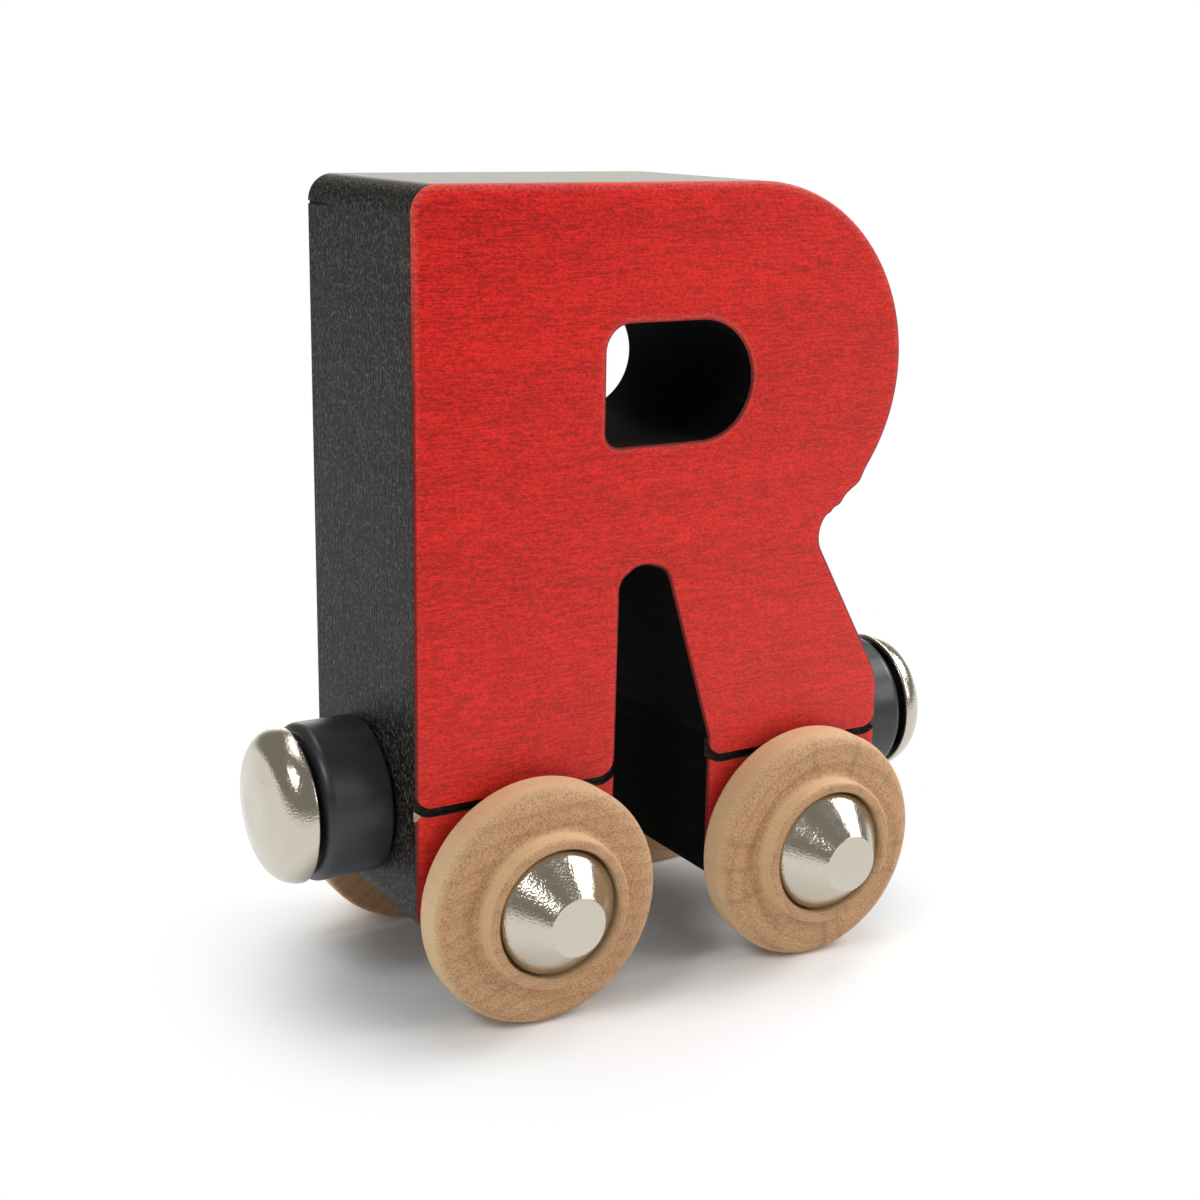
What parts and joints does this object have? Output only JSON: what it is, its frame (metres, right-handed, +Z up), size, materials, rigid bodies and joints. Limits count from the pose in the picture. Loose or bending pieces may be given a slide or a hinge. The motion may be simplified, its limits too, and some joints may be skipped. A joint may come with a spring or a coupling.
{
  "type": "wooden train letter",
  "caption": "Letter-shaped wooden toy train car, sawn from a hardwood board, rolling on turned maple wheels, with a magnetic coupler at each end.",
  "frame": {"origin": "on the ground under the middle of the car, midway between the coupler tips and midway through the board", "axes": "+X along the train in the reading direction of the letter, -Y out of the front face, +Z up"},
  "size_m": [0.064, 0.036, 0.0658],
  "materials": {
    "painted_wood": "satin red stain on the faces, burnt black sawn edges",
    "maple": "turned and sanded, unpainted",
    "nickel_plate": "bright nickel plate on steel",
    "black_plastic": "satin moulded",
    "ferrite": "sintered",
    "bright_steel": "bright drawn wire"
  },
  "bodies": {
    "letter": {"letter_block": "painted_wood", "front_left_axle_pin": "nickel_plate", "front_right_axle_pin": "nickel_plate", "back_left_axle_pin": "nickel_plate", "back_right_axle_pin": "nickel_plate", "left_coupler_pin": "bright_steel", "right_coupler_pin": "bright_steel"},
    "front_left_wheel": {"front_left_wheel": "maple"},
    "front_right_wheel": {"front_right_wheel": "maple"},
    "back_left_wheel": {"back_left_wheel": "maple"},
    "back_right_wheel": {"back_right_wheel": "maple"},
    "left_coupler": {"left_coupler_sleeve": "black_plastic", "left_coupler_magnet": "ferrite", "left_coupler_cap": "nickel_plate"},
    "right_coupler": {"right_coupler_sleeve": "black_plastic", "right_coupler_magnet": "ferrite", "right_coupler_cap": "nickel_plate"}
  },
  "joints": [
    {"name": "front_left_wheel_spin", "type": "hinge", "parent": "letter", "child": "front_left_wheel", "pos_m": [-0.01275, -0.0128, 0.01], "axis": [0, 1, 0], "continuous": true},
    {"name": "front_right_wheel_spin", "type": "hinge", "parent": "letter", "child": "front_right_wheel", "pos_m": [0.01375, -0.0128, 0.01], "axis": [0, 1, 0], "continuous": true},
    {"name": "back_left_wheel_spin", "type": "hinge", "parent": "letter", "child": "back_left_wheel", "pos_m": [-0.01275, 0.0128, 0.01], "axis": [0, 1, 0], "continuous": true},
    {"name": "back_right_wheel_spin", "type": "hinge", "parent": "letter", "child": "back_right_wheel", "pos_m": [0.01375, 0.0128, 0.01], "axis": [0, 1, 0], "continuous": true},
    {"name": "left_coupler_spin", "type": "hinge", "parent": "letter", "child": "left_coupler", "pos_m": [-0.026, 0, 0.0171], "axis": [1, 0, 0], "continuous": true},
    {"name": "right_coupler_spin", "type": "hinge", "parent": "letter", "child": "right_coupler", "pos_m": [0.026, 0, 0.0171], "axis": [1, 0, 0], "continuous": true}
  ]
}
